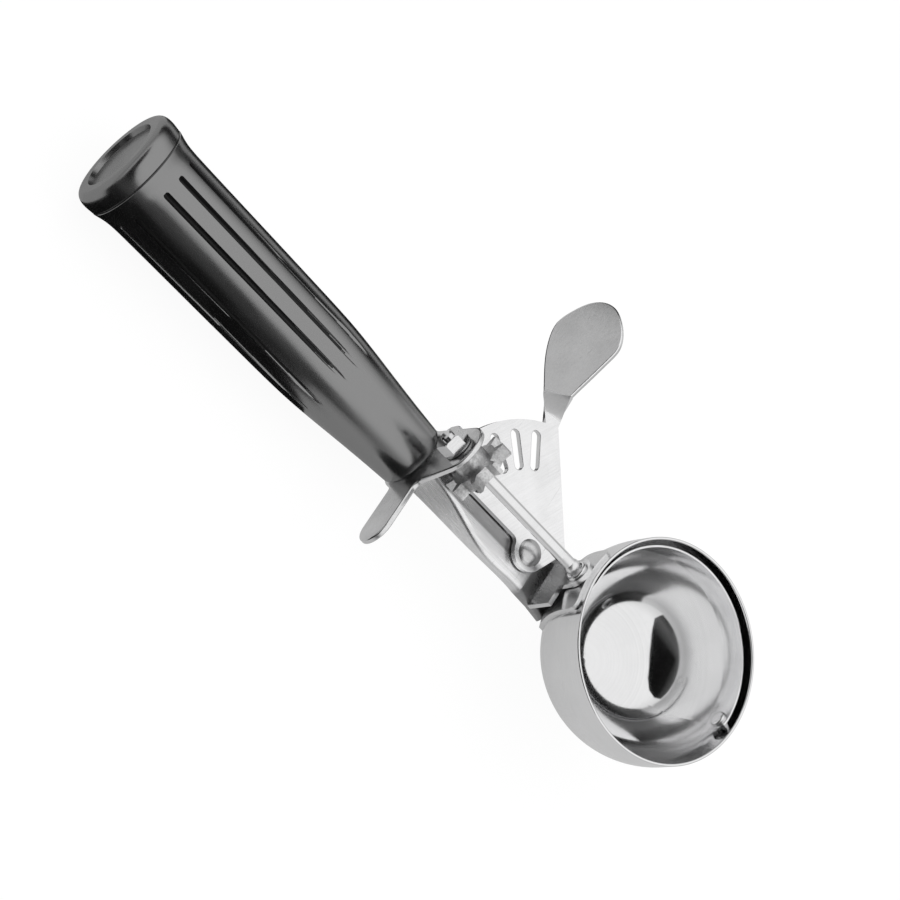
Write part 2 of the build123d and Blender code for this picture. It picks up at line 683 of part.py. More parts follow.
def make_return_spring():
    """Torsion spring round the rivet: one leg to the lever, one to the flange."""
    r = SPRING_COIL_R
    height = SPRING_PITCH * SPRING_TURNS
    coil_top = WEB_Z - SHEET_T - SPRING_DROP
    low = coil_top - height
    coil = Helix(SPRING_PITCH, height, r, center=(0, 0, low))
    coil = Pos(PIVOT_X, PIVOT_Y, 0) * Rot(0, 0, LEG_PARK - 360 * SPRING_TURNS) * coil
    wire = Circle(SPRING_WIRE_R)
    start = coil @ 0
    spring = sweep(Plane(origin=start, z_dir=coil % 0) * wire, path=coil, is_frenet=True)
    foot_end = start - (coil % 0) * SPRING_STAY
    stay = Line(start, foot_end)
    spring += sweep(Plane(origin=start, z_dir=foot_end - start) * wire, path=stay)
    top = coil @ 1
    out = Vector(*polar(LEG_REACH, LEG_PARK), coil_top)
    hook = Polyline(top, out, out + Vector(0, 0, LEVER_Z + LEVER_T - coil_top))
    for edge in hook.edges():
        spring += sweep(Plane(origin=edge @ 0, z_dir=edge % 0) * wire, path=edge)
    for spot in (top, out):
        spring += Pos(*spot) * Sphere(SPRING_WIRE_R)
    return spring


PIECES = {
    "bowl": make_bowl,
    "bowl_saddle": make_bowl_saddle,
    "bearing_upright": make_upright,
    "shaft_sleeve": make_sleeve,
    "shank": make_shank,
    "guard_plate": make_guard,
    "handle_tang": make_tang,
    "handle_grip": make_grip,
    "handle_end_cap": make_end_cap,
    "scraper_shaft": make_scraper_shaft,
    "shaft_nut": make_shaft_nut,
    "nut_washer": make_nut_washer,
    "pinion": make_pinion,
    "scraper_blade": make_scraper_blade,
    "blade_tip_rivet": make_tip_rivet,
    "sector_lever": make_sector_lever,
    "lever_rivet": make_lever_rivet,
    "lever_spacer": make_lever_spacer,
    "return_spring": make_return_spring,
}

for name, make in PIECES.items():
    piece = make()
    export_step(piece, f"parts/{name}.step")
    print(name, round(piece.volume, 2), len(piece.solids()), piece.is_valid)
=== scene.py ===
import math

import bmesh
import bpy
from mathutils import Euler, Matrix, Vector


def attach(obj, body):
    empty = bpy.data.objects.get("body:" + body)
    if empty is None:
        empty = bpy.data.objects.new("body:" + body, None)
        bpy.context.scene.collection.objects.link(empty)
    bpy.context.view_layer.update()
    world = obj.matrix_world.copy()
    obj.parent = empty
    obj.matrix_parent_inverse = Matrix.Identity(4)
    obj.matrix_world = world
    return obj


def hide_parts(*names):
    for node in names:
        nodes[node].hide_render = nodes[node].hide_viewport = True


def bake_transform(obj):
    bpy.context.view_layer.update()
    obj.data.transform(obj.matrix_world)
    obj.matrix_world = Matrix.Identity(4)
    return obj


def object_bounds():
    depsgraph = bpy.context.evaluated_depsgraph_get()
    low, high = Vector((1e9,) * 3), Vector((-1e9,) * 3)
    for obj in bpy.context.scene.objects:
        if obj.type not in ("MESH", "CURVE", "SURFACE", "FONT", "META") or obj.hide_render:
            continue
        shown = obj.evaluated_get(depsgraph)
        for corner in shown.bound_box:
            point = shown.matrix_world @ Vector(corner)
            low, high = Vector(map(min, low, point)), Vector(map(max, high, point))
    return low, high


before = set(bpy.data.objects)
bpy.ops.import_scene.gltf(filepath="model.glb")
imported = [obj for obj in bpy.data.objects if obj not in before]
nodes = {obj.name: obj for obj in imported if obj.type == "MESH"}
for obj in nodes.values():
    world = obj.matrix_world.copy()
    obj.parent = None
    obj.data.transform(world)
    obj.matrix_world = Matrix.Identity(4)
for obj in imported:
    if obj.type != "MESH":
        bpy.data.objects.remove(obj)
cad_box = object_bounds()
scene = bpy.context.scene


# Camera. It looks down on the scoop from above the open side of the handle,
# with a long lens, so that the grip runs from the upper left to the bowl.
lens = bpy.data.cameras.new("camera")
lens.lens = 115.2
lens.sensor_width = 36.0
lens.clip_start = 0.01
camera = bpy.data.objects.new("camera", lens)
camera.location = (-0.344686, -0.341006, 0.574545)
camera.rotation_euler = Euler([math.radians(a) for a in (8.73068, -35.86604, 37.40044)])
scene.collection.objects.link(camera)
scene.camera = camera


# White tent. The light comes evenly from a cloth dome that is whitest overhead
# and greyer towards the table, with one broad lamp over it for soft shadows.
TENT_TONES = [(0.30, 0.46), (0.62, 0.92)]
SCOOP_MIDDLE_X = -0.08


def node_of(tree, kind, **values):
    """New shader node. Keywords set its properties, or its inputs by their name."""
    node = tree.nodes.new("ShaderNode" + kind)
    for key, value in values.items():
        if hasattr(node, key):
            setattr(node, key, value)
        else:
            node.inputs[key.replace("_", " ")].default_value = value
    return node


def wire(tree, *runs):
    """Links nodes. Each run is (node, output, node, input)."""
    for source, output, target, entry in runs:
        tree.links.new(source.outputs[output], target.inputs[entry])


def grey(level):
    """Neutral colour of that level."""
    return (level, level, level, 1)


def grey_ramp(tree, stops):
    """Ramp of greys. Stops are (position, level)."""
    node = node_of(tree, "ValToRGB")
    elements = node.color_ramp.elements
    while len(elements) < len(stops):
        elements.new(0.5)
    for element, (position, level) in zip(elements, stops):
        element.position = position
        element.color = grey(level)
    return node


scene.view_settings.view_transform = "Standard"
tent = bpy.data.worlds.new("white tent")
scene.world = tent
tent.use_nodes = True
tree = tent.node_tree
tree.nodes.clear()
place = node_of(tree, "TexCoord")
part = node_of(tree, "SeparateXYZ")
rise = grey_ramp(tree, TENT_TONES)
cloth = node_of(tree, "Background")
backdrop = node_of(tree, "Background", Color=grey(1.0))
path = node_of(tree, "LightPath")
mix = node_of(tree, "MixShader")
out = node_of(tree, "OutputWorld")
wire(
    tree,
    (place, "Generated", part, "Vector"),
    (part, "Z", rise, "Fac"),
    (rise, "Color", cloth, "Color"),
    (path, "Is Camera Ray", mix, "Fac"),
    (cloth, "Background", mix, 1),
    (backdrop, "Background", mix, 2),
    (mix, "Shader", out, "Surface"),
)

lamp = bpy.data.lights.new("overhead lamp", "AREA")
lamp.shape = "RECTANGLE"
lamp.size = 1.2
lamp.size_y = 0.9
lamp.energy = 3.0
lamp_stand = bpy.data.objects.new("overhead lamp", lamp)
lamp_stand.location = (0.20, 0.30, 1.0)
aim = Vector((SCOOP_MIDDLE_X, 0, 0)) - lamp_stand.location
lamp_stand.rotation_euler = aim.to_track_quat("-Z", "Y").to_euler()
lamp_stand.visible_glossy = False
scene.collection.objects.link(lamp_stand)


# Table. A plain pale card, white to the camera, that keeps a faint shadow of
# the scoop and shows in the metal as an even light grey.
TABLE_HALF = 1.6
TABLE_DROP = 0.0002
CARD_TONE = 0.70
CARD_GLOW = 1.06
CARD_IN_METAL = 0.56
GLOW_SHARE = 0.88
METAL_SHARE = 0.75
bm = bmesh.new()
bmesh.ops.create_grid(bm, x_segments=1, y_segments=1, size=TABLE_HALF)
bmesh.ops.translate(bm, verts=bm.verts, vec=(SCOOP_MIDDLE_X, 0, cad_box[0][2] - TABLE_DROP))
table_mesh = bpy.data.meshes.new("table")
bm.to_mesh(table_mesh)
bm.free()
table = bpy.data.objects.new("table", table_mesh)
scene.collection.objects.link(table)
pale_card = bpy.data.materials.new("pale card")
pale_card.use_nodes = True
tree = pale_card.node_tree
tree.nodes.clear()
path = node_of(tree, "LightPath")
card = node_of(tree, "BsdfDiffuse", Color=grey(CARD_TONE))
glow = node_of(tree, "Emission", Strength=CARD_GLOW)
sheen = node_of(tree, "Emission", Strength=CARD_IN_METAL)
seen = node_of(tree, "Math", operation="MULTIPLY")
seen.inputs[1].default_value = GLOW_SHARE
mirrored = node_of(tree, "Math", operation="MULTIPLY")
mirrored.inputs[1].default_value = METAL_SHARE
mix = node_of(tree, "MixShader")
mix_metal = node_of(tree, "MixShader")
out = node_of(tree, "OutputMaterial")
wire(
    tree,
    (path, "Is Camera Ray", seen, 0),
    (path, "Is Glossy Ray", mirrored, 0),
    (seen, "Value", mix, "Fac"),
    (card, "BSDF", mix, 1),
    (glow, "Emission", mix, 2),
    (mirrored, "Value", mix_metal, "Fac"),
    (mix, "Shader", mix_metal, 1),
    (sheen, "Emission", mix_metal, 2),
    (mix_metal, "Shader", out, "Surface"),
)
table_mesh.materials.append(pale_card)


# Opening of the tent. Bright metal shows the dark room behind it, and low flags
# of black card beside the grip give that its dark edges. A dark strip on the
# table is the dark floor on the room's side and a painted shadow of the grip
# beneath and behind it, seen only in reflections. None of them blocks light or
# gives any, and the camera sees nothing of them.
SIDE_Y = -0.23
BACK_X = -0.341
SHADOW_STRIP_LIFT = 0.0002
SHADOW_STRIP_Z = cad_box[0][2] + SHADOW_STRIP_LIFT
NEAR_FLAG_Y = -0.10
FAR_FLAG_Y = 0.10
ROOM_TONES = [
    (0.00, 0.006), (0.04, 0.02), (0.08, 0.08), (0.20, 0.08), (0.30, 0.010), (0.46, 0.10),
    (0.75, 0.008), (1.0, 0.004),
]
ROOM_TOP = 0.30
SIDE_EDGE = [
    (-0.341, -0.03), (-0.10, -0.03), (-0.10, 0.022), (-0.012, 0.022), (0.004, 0.11),
    (0.010, 0.152), (-0.039, 0.224), (-0.115, 0.319), (-0.249, 0.489), (-0.341, 0.600),
]
BACK_EDGE = [
    (-0.23, 0.12), (-0.23, 0.600), (-0.125, 0.516), (0.006, 0.425), (0.099, 0.330),
    (0.13, 0.24), (0.10, 0.15), (-0.02, 0.12),
]
# Painted shadow: this strip shows dark in the metal and the grip where the grip's shadow would lie
# on the table. On the room's side it is the dark floor.
SHADOW_STRIP_EDGE = [
    (-0.186, -0.23), (-0.186, 0.072), (-0.06, 0.072), (-0.06, 0.03), (-0.105, 0.03),
    (-0.105, -0.045), (-0.09, -0.045), (-0.09, -0.23),
]
NEAR_FLAG_EDGE = [
    (-0.25, SHADOW_STRIP_Z), (-0.078, SHADOW_STRIP_Z), (-0.078, 0.004), (-0.042, 0.004), (-0.042, 0.060),
    (-0.25, 0.060),
]
FAR_FLAG_EDGE = [(-0.25, -0.017), (-0.05, -0.017), (-0.05, 0.03), (-0.25, 0.03)]
OPENING = {
    "near flag": [(x, NEAR_FLAG_Y, z) for x, z in NEAR_FLAG_EDGE],
    "far flag": [(x, FAR_FLAG_Y, z) for x, z in FAR_FLAG_EDGE],
    "opening side": [(x, SIDE_Y, z) for x, z in SIDE_EDGE],
    "opening back": [(BACK_X, y, z) for y, z in BACK_EDGE],
    "dark floor and painted grip shadow": [(x, y, SHADOW_STRIP_Z) for x, y in SHADOW_STRIP_EDGE],
}
dark_room = bpy.data.materials.new("dark room")
dark_room.use_nodes = True
tree = dark_room.node_tree
tree.nodes.clear()
place = node_of(tree, "TexCoord")
part = node_of(tree, "SeparateXYZ")
height = node_of(tree, "MapRange", From_Max=ROOM_TOP)
fade = grey_ramp(tree, ROOM_TONES)
room = node_of(tree, "Emission")
out = node_of(tree, "OutputMaterial")
wire(
    tree,
    (place, "Object", part, "Vector"),
    (part, "Z", height, "Value"),
    (height, "Result", fade, "Fac"),
    (fade, "Color", room, "Color"),
    (room, "Emission", out, "Surface"),
)
for name, corners in OPENING.items():
    bm = bmesh.new()
    bm.faces.new([bm.verts.new(corner) for corner in corners])
    sheet = bpy.data.meshes.new(name)
    bm.to_mesh(sheet)
    bm.free()
    sheet.materials.append(dark_room)
    flag = bpy.data.objects.new(name, sheet)
    scene.collection.objects.link(flag)
    flag.visible_camera = False
    flag.visible_diffuse = False
    flag.visible_shadow = False


# Bowl. Spun from stainless sheet and polished on the lathe: a mirror at the
# bottom and round the lip, with a light haze on the wall between them.
MIRROR_BELOW = -0.0185
HAZE_FROM = -0.0105
HAZE_TO = -0.0045
LIP_FROM = -0.0015
MIRROR_ROUGH = 0.05
HAZE_ROUGH = 0.13
HAZE_METAL = 0.80
SPINNING_LINES = (2400, 2400, 2400)
MARK_ROUGHNESS = 0.6
NICK_DEPTH = -2.0
RELIEF = 0.00005


def new_group(name, inputs, outputs):
    """Empty node group with its two ends. Inputs are (name, kind, value)."""
    group = bpy.data.node_groups.new(name, "ShaderNodeTree")
    for label, kind, value in inputs:
        socket = group.interface.new_socket(label, in_out="INPUT", socket_type="NodeSocket" + kind)
        if value is not None:
            socket.default_value = value
    for label, kind in outputs:
        group.interface.new_socket(label, in_out="OUTPUT", socket_type="NodeSocket" + kind)
    return group, group.nodes.new("NodeGroupInput"), group.nodes.new("NodeGroupOutput")


def use_group(tree, group, **values):
    """Puts a node group into a material with its own values."""
    node = tree.nodes.new("ShaderNodeGroup")
    node.node_tree = group
    for key, value in values.items():
        node.inputs[key.replace("_", " ")].default_value = value
    return node


def principled(name, **values):
    """New material whose shader's own sockets hold the given constants."""
    material = bpy.data.materials.new(name)
    material.use_nodes = True
    shader = material.node_tree.nodes["Principled BSDF"]
    for key, value in values.items():
        shader.inputs[key.replace("_", " ")].default_value = value
    return material, material.node_tree, shader


# round the axis: turns a place into (distance from the Z axis, 0, height), so
# that a pattern on it makes the rings that a lathe leaves.
round_axis, start, end = new_group(
    "round the axis", [("Vector", "Vector", None)], [("Vector", "Vector"), ("Radius", "Float")]
)
part = node_of(round_axis, "SeparateXYZ")
flat = node_of(round_axis, "CombineXYZ")
away = node_of(round_axis, "VectorMath", operation="LENGTH")
ring = node_of(round_axis, "CombineXYZ")
wire(
    round_axis,
    (start, "Vector", part, "Vector"),
    (part, "X", flat, "X"),
    (part, "Y", flat, "Y"),
    (flat, "Vector", away, 0),
    (away, "Value", ring, "X"),
    (part, "Z", ring, "Z"),
    (ring, "Vector", end, "Vector"),
    (away, "Value", end, "Radius"),
)

# steel finish: fine lines along the grain, soft handling smudges and a few
# thin scratches, as a tone, a roughness and a height.
steel_finish, start, end = new_group(
    "steel finish",
    [
        ("Place", "Vector", None),
        ("Grain", "Vector", None),
        ("Metal", "Color", (0.88, 0.88, 0.88, 1)),
        ("Roughness", "Float", 0.12),
        ("Line Contrast", "Float", 0.1),
        ("Smudges", "Float", 0.1),
        ("Scratches", "Float", 0.1),
    ],
    [("Color", "Color"), ("Roughness", "Float"), ("Height", "Float")],
)
fine = node_of(steel_finish, "TexNoise", Scale=1.0, Detail=3.0, Roughness=0.65)
lines = node_of(steel_finish, "MapRange", From_Min=0.32, From_Max=0.68)
soft = node_of(steel_finish, "TexNoise", Scale=95.0, Detail=3.0, Roughness=0.55)
smudge = node_of(steel_finish, "MapRange", From_Min=0.42, From_Max=0.66)
slant = node_of(steel_finish, "Mapping", Rotation=(0.3, 0.5, 0.7), Scale=(2600, 60, 900))
nick_noise = node_of(steel_finish, "TexNoise", Scale=1.0, Detail=1.0)
nicks = node_of(steel_finish, "MapRange", From_Min=0.70, From_Max=0.76)
line_part = node_of(steel_finish, "Math", operation="MULTIPLY")
smudge_part = node_of(steel_finish, "Math", operation="MULTIPLY")
nick_part = node_of(steel_finish, "Math", operation="MULTIPLY")
two = node_of(steel_finish, "Math", operation="ADD")
all_marks = node_of(steel_finish, "Math", operation="ADD")
left = node_of(steel_finish, "Math", operation="SUBTRACT")
left.inputs[0].default_value = 1.0
shade = node_of(steel_finish, "VectorMath", operation="SCALE")
rougher = node_of(steel_finish, "Math", operation="MULTIPLY_ADD")
rougher.inputs[1].default_value = MARK_ROUGHNESS
deep = node_of(steel_finish, "Math", operation="MULTIPLY_ADD")
deep.inputs[1].default_value = NICK_DEPTH
wire(
    steel_finish,
    (start, "Grain", fine, "Vector"),
    (fine, 0, lines, "Value"),
    (start, "Place", soft, "Vector"),
    (soft, 0, smudge, "Value"),
    (start, "Place", slant, "Vector"),
    (slant, "Vector", nick_noise, "Vector"),
    (nick_noise, 0, nicks, "Value"),
    (lines, "Result", line_part, 0),
    (start, "Line Contrast", line_part, 1),
    (smudge, "Result", smudge_part, 0),
    (start, "Smudges", smudge_part, 1),
    (nicks, "Result", nick_part, 0),
    (start, "Scratches", nick_part, 1),
    (line_part, "Value", two, 0),
    (smudge_part, "Value", two, 1),
    (two, "Value", all_marks, 0),
    (nick_part, "Value", all_marks, 1),
    (all_marks, "Value", left, 1),
    (start, "Metal", shade, 0),
    (left, "Value", shade, "Scale"),
    (shade, "Vector", end, "Color"),
    (all_marks, "Value", rougher, 0),
    (start, "Roughness", rougher, 2),
    (rougher, "Value", end, "Roughness"),
    (nick_part, "Value", deep, 0),
    (lines, "Result", deep, 2),
    (deep, "Value", end, "Height"),
)


def steel(name, tone, rough, grain, lines=0.08, smudges=0.06, scratches=0.08, depth=0.03,
          turned=False, turn=(0, 0, 0), centre=(0, 0, 0)):
    """Steel with its grain. Grain is how fast the lines change along each axis, per metre;
    a turned piece has its axis laid along Z first."""
    material, tree, shader = principled(name, Metallic=1.0)
    place = node_of(tree, "TexCoord")
    lay = node_of(tree, "Mapping", Location=centre, Rotation=turn)
    squeeze = node_of(tree, "Mapping", Scale=grain)
    finish = use_group(
        tree, steel_finish, Metal=(tone, tone, tone * 1.005, 1), Roughness=rough,
        Line_Contrast=lines, Smudges=smudges, Scratches=scratches,
    )
    relief = node_of(tree, "Bump", Strength=depth, Distance=RELIEF)
    wire(tree, (place, "Object", finish, "Place"), (place, "Object", lay, "Vector"))
    if turned:
        rings = use_group(tree, round_axis)
        wire(tree, (lay, "Vector", rings, "Vector"), (rings, "Vector", squeeze, "Vector"))
    else:
        wire(tree, (lay, "Vector", squeeze, "Vector"))
    wire(
        tree,
        (squeeze, "Vector", finish, "Grain"),
        (finish, "Color", shader, "Base Color"),
        (finish, "Roughness", shader, "Roughness"),
        (finish, "Height", relief, "Height"),
        (relief, "Normal", shader, "Normal"),
    )
    return material


def dress(material, *names):
    """Gives CAD nodes a material."""
    for name in names:
        nodes[name].material_slots[0].material = material


def open_steel(material):
    """Tree, shader, finish and (x, y, z) of a steel whose finish changes from place to place."""
    tree = material.node_tree
    place = next(node for node in tree.nodes if node.type == "TEX_COORD")
    groups = [node for node in tree.nodes if node.type == "GROUP"]
    finish = next(node for node in groups if node.node_tree == steel_finish)
    part = node_of(tree, "SeparateXYZ")
    wire(tree, (place, "Object", part, "Vector"))
    return tree, tree.nodes["Principled BSDF"], finish, part


spun = steel("spun polished steel", 0.895, MIRROR_ROUGH, SPINNING_LINES, lines=0.05,
             smudges=0.03, scratches=0.03, depth=0.004, turned=True)
tree, shader, finish, part = open_steel(spun)
up = node_of(tree, "MapRange", From_Min=MIRROR_BELOW, From_Max=HAZE_FROM)
down = node_of(tree, "MapRange", From_Min=LIP_FROM, From_Max=HAZE_TO)
hazy = node_of(tree, "Math", operation="MULTIPLY")
haze = node_of(tree, "MapRange", To_Min=1.0, To_Max=HAZE_METAL)
dull = node_of(tree, "MapRange", To_Min=MIRROR_ROUGH, To_Max=HAZE_ROUGH)
wire(
    tree,
    (part, "Z", up, "Value"),
    (part, "Z", down, "Value"),
    (up, "Result", hazy, 0),
    (down, "Result", hazy, 1),
    (hazy, "Value", haze, "Value"),
    (hazy, "Value", dull, "Value"),
    (haze, "Result", shader, "Metallic"),
    (dull, "Result", finish, "Roughness"),
)
dress(spun, "bowl")


# Saddle and upright. Two small stampings of thin stainless sheet behind the
# bowl, welded to its wall, with the draw lines of the press running upwards.
stamped = steel("stamped sheet", 0.84, 0.17, (3200, 3200, 90), lines=0.10, smudges=0.10)
dress(stamped, "bowl_saddle", "bearing_upright")


# Sleeve. A flanged bush that carries the shaft into the bowl, turned from
# stainless bar on the lathe and pressed through the upright.
LAID_ALONG_X = (0, math.radians(90), 0)
bush = steel("turned bush", 0.86, 0.14, (5200, 5200, 5200), lines=0.10, turned=True,
             turn=LAID_ALONG_X)
dress(bush, "shaft_sleeve")


# Shank. Folded from rolled strip, so its grain runs lengthwise from the guard to
# the bowl. Its colour holds painted shade: a darker band on the web beside the
# lever for the lever edge's shadow and the shaft's reflection, and a darker nose
# towards the bowl, where the web drops into shade.
WEB_EDGE_Y = -0.010
# Painted shade and reflection: the web's colour is darkened in a band beside the lever, standing
# in for the lever edge's shadow and the shaft's reflection.
PAINTED_SHADE_Y = [(-0.0056, 0.0), (-0.0050, 1.0), (-0.0024, 0.9), (-0.0010, 0.6), (0.0, 0.0)]
PAINTED_SHADE_TONE = 0.42
# Painted shade: the nose's colour is darkened towards the bowl, where the web drops into shade.
NOSE_FROM = -0.0392
NOSE_TO = -0.0372
NOSE_SHADE_TONE = 0.45
WEB_LOW = -0.0103
WEB_HIGH = -0.0099
rolled = steel("rolled strip", 0.94, 0.24, (60, 2300, 2300), lines=0.12, smudges=0.08,
               scratches=0.12, depth=0.05)
tree, shader, finish, part = open_steel(rolled)
across = node_of(tree, "MapRange", From_Min=WEB_EDGE_Y, From_Max=0.0)
painted_shade_band = grey_ramp(tree, [(1 - y / WEB_EDGE_Y, level) for y, level in PAINTED_SHADE_Y])
on_web = node_of(tree, "MapRange", From_Min=WEB_LOW, From_Max=WEB_HIGH)
painted_shade = node_of(tree, "Math", operation="MULTIPLY")
painted_shade_tone = node_of(tree, "MapRange", To_Min=1.0, To_Max=PAINTED_SHADE_TONE)
nose_shade = node_of(tree, "MapRange", From_Min=NOSE_FROM, From_Max=NOSE_TO,
               To_Min=1.0, To_Max=NOSE_SHADE_TONE)
before_nose = node_of(tree, "Math", operation="LESS_THAN")
before_nose.inputs[1].default_value = NOSE_FROM
painted_shade_on_web = node_of(tree, "Math", operation="MULTIPLY")
tone = node_of(tree, "Math", operation="MULTIPLY")
toned = node_of(tree, "VectorMath", operation="SCALE")
wire(
    tree,
    (part, "Y", across, "Value"),
    (across, "Result", painted_shade_band, "Fac"),
    (part, "Z", on_web, "Value"),
    (painted_shade_band, "Color", painted_shade, 0),
    (on_web, "Result", painted_shade, 1),
    (part, "X", nose_shade, "Value"),
    (part, "X", before_nose, 0),
    (painted_shade, "Value", painted_shade_on_web, 0),
    (before_nose, "Value", painted_shade_on_web, 1),
    (painted_shade_on_web, "Value", painted_shade_tone, "Value"),
    (painted_shade_tone, "Result", tone, 0),
    (nose_shade, "Result", tone, 1),
    (finish, "Color", toned, 0),
    (tone, "Value", toned, "Scale"),
    (toned, "Vector", shader, "Base Color"),
)
dress(rolled, "shank")


# Guard plate. Blanked from heavier stainless sheet in one piece with its finger
# rest, tumbled smooth for the forefinger and welded across the shank's end.
tumbled = steel("tumbled plate", 0.84, 0.18, (900, 1500, 1500), lines=0.06, smudges=0.12,
                scratches=0.10, depth=0.02)
dress(tumbled, "guard_plate")


# Tang. Plain steel bar, dull from the mill, welded under the shank's web and
# run back through the guard plate into the grip.
mill_bar = steel("mill bar", 0.50, 0.38, (200, 1700, 1700), lines=0.15, smudges=0.35,
                 scratches=0.2, depth=0.10)
dress(mill_bar, "handle_tang")


# Grip and end cap. Black plastic, moulded round the tang in a fluted tool, slim
# in front and flared behind, with the cap pressed on. The bottoms of the flutes
# keep a dull bloom that hands have polished off the rest.
GRIP_X = -0.079
GRIP_AXIS_Z = -0.020
BARREL = [
    (1.2, 9.2), (8, 9.75), (14, 10.3), (20, 10.9), (28, 11.72), (35, 12.3), (42, 12.6),
    (52, 12.78), (65, 12.97), (80, 13.15), (92, 13.32), (97, 13.45), (100, 13.75), (103.1, 14.5),
]
NOSE = [(0.0, 0.0), (0.0, 8.2)]
CORE = [(103.4, 14.2), (103.4, 9.5), (48.0, 9.5), (48.0, 0.0)]
BARREL_ROWS = [
    (1.2, 26.0, 1.6), (26.0, 40.0, 0.7), (40.0, 95.6, 2.8), (95.6, 98.4, 0.14),
    (98.4, 103.1, 0.47),
]
FLUTE_TURNS = [quarter + turn for quarter in (0, 90, 180, 270) for turn in (-24, 0, 24)]
FLUTE_REAR = 97.0
FLUTE_AXIS_R = 12.7
FLUTE_CUT_R = 0.75
FLUTE_FLARE = 8.0
ACROSS_FLUTE = [0.0, 0.8, 1.6, 2.3, 2.9, 3.25, 3.45, 3.65, 3.95, 4.6]
BETWEEN_FLUTES = 2.4
FLOOR_DEPTH = 0.55
WORN_ROUGHNESS = 0.07
SEAM_REACH = 1e-6
EDGE_ANGLE = math.radians(50)


def barrel_radius(back):
    """Radius of the plain barrel, by a smooth curve through its stations."""
    k = next(i for i in range(len(BARREL) - 1) if back <= BARREL[i + 1][0] or i == len(BARREL) - 2)
    (x0, r0), (x1, r1) = BARREL[k], BARREL[k + 1]
    xa, ra = BARREL[max(k - 1, 0)]
    xb, rb = BARREL[min(k + 2, len(BARREL) - 1)]
    span, t = x1 - x0, (back - x0) / (x1 - x0)
    m0, m1 = (r1 - ra) / (x1 - xa) * span, (rb - r0) / (xb - x0) * span
    return ((2 * t**3 - 3 * t**2 + 1) * r0 + (t**3 - 2 * t**2 + t) * m0
            + (3 * t**2 - 2 * t**3) * r1 + (t**3 - t**2) * m1)


def flute_radius(back, radius, off):
    """Radius that the flute's cutter leaves, off degrees from the flute's middle."""
    aside = math.hypot(radius * math.sin(math.radians(off)), max(back - FLUTE_REAR, 0.0))
    if aside < FLUTE_CUT_R:
        return FLUTE_AXIS_R - math.sqrt(FLUTE_CUT_R**2 - aside**2)
    return FLUTE_AXIS_R + (aside - FLUTE_CUT_R) * FLUTE_FLARE


def closed_mesh(bm, name):
    """Mesh of a sheet whose ends meet: seam merged, faces outwards, smooth between its edges."""
    bmesh.ops.remove_doubles(bm, verts=bm.verts, dist=SEAM_REACH)
    bmesh.ops.recalc_face_normals(bm, faces=bm.faces)
    for face in bm.faces:
        face.smooth = True
    mesh = bpy.data.meshes.new(name)
    bm.to_mesh(mesh)
    bm.free()
    mesh.set_sharp_from_angle(angle=EDGE_ANGLE)
    return mesh


rows = [(back, radius, False) for back, radius in NOSE]
for first, last, step in BARREL_ROWS:
    count = round((last - first) / step)
    rows += [(first + (last - first) * i / count, None, True) for i in range(count)]
rows += [(BARREL[-1][0], BARREL[-1][1], False)] + [(back, radius, False) for back, radius in CORE]
columns = []
for turn, after in zip(FLUTE_TURNS, FLUTE_TURNS[1:] + [FLUTE_TURNS[0] + 360]):
    columns += [(turn - off, off) for off in reversed(ACROSS_FLUTE[1:])]
    columns += [(turn + off, off) for off in ACROSS_FLUTE]
    edge = ACROSS_FLUTE[-1]
    gap = after - turn - 2 * edge
    count = round(gap / BETWEEN_FLUTES)
    columns += [(turn + edge + gap * i / count, edge) for i in range(1, count)]
columns.append((columns[0][0] + 360, columns[0][1]))
bm = bmesh.new()
bmesh.ops.create_grid(bm, x_segments=len(columns) - 1, y_segments=len(rows) - 1, size=1)
bm.verts.ensure_lookup_table()
cut = bm.verts.layers.float.new("groove")
for number, vert in enumerate(bm.verts):
    back, radius, fluted = rows[number // len(columns)]
    turn, off = columns[number % len(columns)]
    if fluted:
        plain = barrel_radius(back)
        radius = min(plain, flute_radius(back, plain, off))
        vert[cut] = min((plain - radius) / FLUTE_CUT_R, 1.0)
    angle = math.radians(turn)
    vert.co = (GRIP_X - back / 1000, radius * math.cos(angle) / 1000,
               GRIP_AXIS_Z + radius * math.sin(angle) / 1000)
for face in bm.faces:
    face.material_index = int(min(vert[cut] for vert in face.verts) > FLOOR_DEPTH)
grip_mesh = closed_mesh(bm, "grip")
grip = bpy.data.objects.new("grip", grip_mesh)
scene.collection.objects.link(grip)
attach(grip, "frame")
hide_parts("handle_grip")

moulding, start, end = new_group(
    "moulded plastic",
    [
        ("Place", "Vector", None),
        ("Colour", "Color", (0.004, 0.004, 0.0042, 1)),
        ("Roughness", "Float", 0.26),
    ],
    [("Color", "Color"), ("Roughness", "Float"), ("Height", "Float")],
)
grain = node_of(moulding, "TexNoise", Scale=4200.0, Detail=2.0)
flow_lay = node_of(moulding, "Mapping", Scale=(45, 260, 260))
flow = node_of(moulding, "TexNoise", Scale=1.0, Detail=3.0)
flow_range = node_of(moulding, "MapRange", From_Min=0.40, From_Max=0.66)
bloom = node_of(moulding, "MapRange", To_Min=1.0, To_Max=1.9)
colour = node_of(moulding, "VectorMath", operation="SCALE")
worn = node_of(moulding, "Math", operation="MULTIPLY_ADD")
worn.inputs[1].default_value = WORN_ROUGHNESS
wire(
    moulding,
    (start, "Place", grain, "Vector"),
    (start, "Place", flow_lay, "Vector"),
    (flow_lay, "Vector", flow, "Vector"),
    (flow, 0, flow_range, "Value"),
    (flow_range, "Result", bloom, "Value"),
    (start, "Colour", colour, 0),
    (bloom, "Result", colour, "Scale"),
    (colour, "Vector", end, "Color"),
    (flow_range, "Result", worn, 0),
    (start, "Roughness", worn, 2),
    (worn, "Value", end, "Roughness"),
    (grain, 0, end, "Height"),
)


